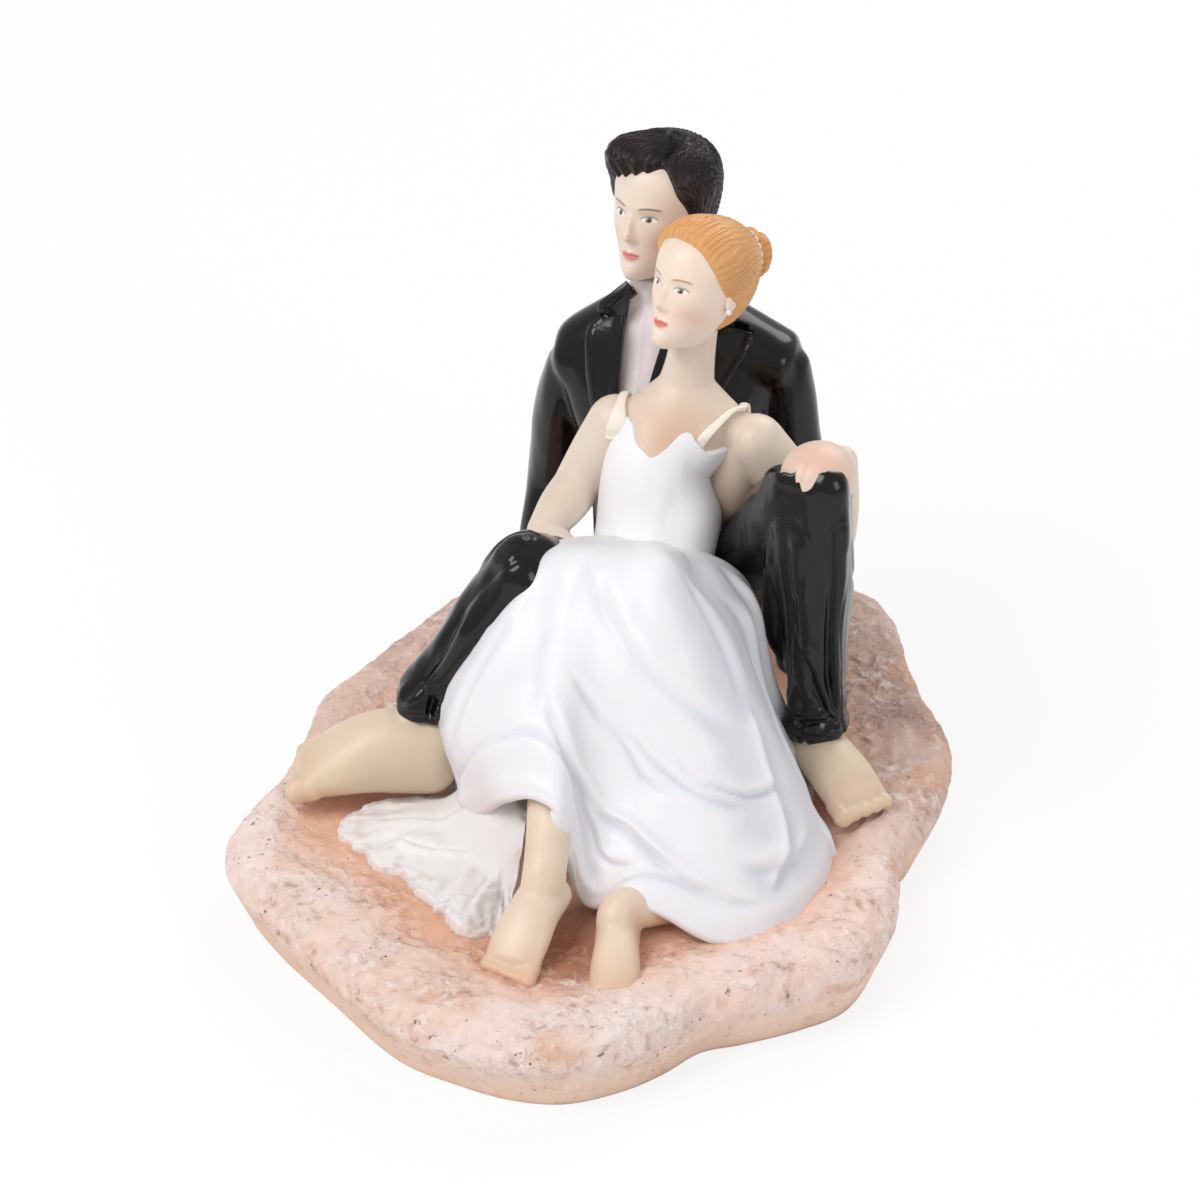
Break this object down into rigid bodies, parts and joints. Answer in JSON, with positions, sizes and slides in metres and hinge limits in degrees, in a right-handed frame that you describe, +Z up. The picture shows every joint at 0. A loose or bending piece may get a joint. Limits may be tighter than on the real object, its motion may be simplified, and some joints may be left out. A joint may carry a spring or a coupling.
{
  "type": "wedding cake topper",
  "caption": "Cast resin cake topper: a bride and groom rest side by side on a patch of sand, her skirt spread over her raised knees.",
  "frame": {"origin": "middle of the sand's underside, where it rests on the cake", "axes": "+Z up, the couple faces -Y, +X to the right of a viewer in front of them, +Y to their back"},
  "size_m": [0.1048, 0.1366, 0.0985],
  "materials": {
    "sand_paint": "matte terracotta resin, dry-brushed pinkish white on the rough rim",
    "groom_skin_paint": "eggshell flesh paint",
    "bride_skin_paint": "eggshell flesh paint with a peach blush",
    "black_paint": "gloss black paint",
    "shirt_paint": "satin pinkish white paint",
    "dark_hair_paint": "satin near-black paint",
    "ginger_hair_paint": "satin ginger paint with darker engraved strands",
    "pearl_paint": "pearly pinkish white paint",
    "white_paint": "satin white paint"
  },
  "bodies": {
    "root": {"bride_bodice": "white_paint", "bride_bun": "ginger_hair_paint", "bride_hair": "ginger_hair_paint", "bride_head": "bride_skin_paint", "bride_left_arm": "bride_skin_paint", "bride_left_hand": "bride_skin_paint", "bride_left_leg": "bride_skin_paint", "bride_left_strap": "white_paint", "bride_pearl_band": "pearl_paint", "bride_right_arm": "bride_skin_paint", "bride_right_hand": "bride_skin_paint", "bride_right_leg": "bride_skin_paint", "bride_right_strap": "white_paint", "bride_skirt": "white_paint", "bride_torso": "bride_skin_paint", "bride_train": "white_paint", "groom_hair": "dark_hair_paint", "groom_head": "groom_skin_paint", "groom_jacket": "black_paint", "groom_left_foot": "groom_skin_paint", "groom_left_hand": "groom_skin_paint", "groom_left_lapel": "black_paint", "groom_left_sleeve": "black_paint", "groom_left_trouser_leg": "black_paint", "groom_right_foot": "groom_skin_paint", "groom_right_hand": "groom_skin_paint", "groom_right_lapel": "black_paint", "groom_right_sleeve": "black_paint", "groom_right_trouser_leg": "black_paint", "groom_shirt": "shirt_paint", "groom_trouser_seat": "black_paint", "sand_base": "sand_paint"}
  },
  "joints": []
}
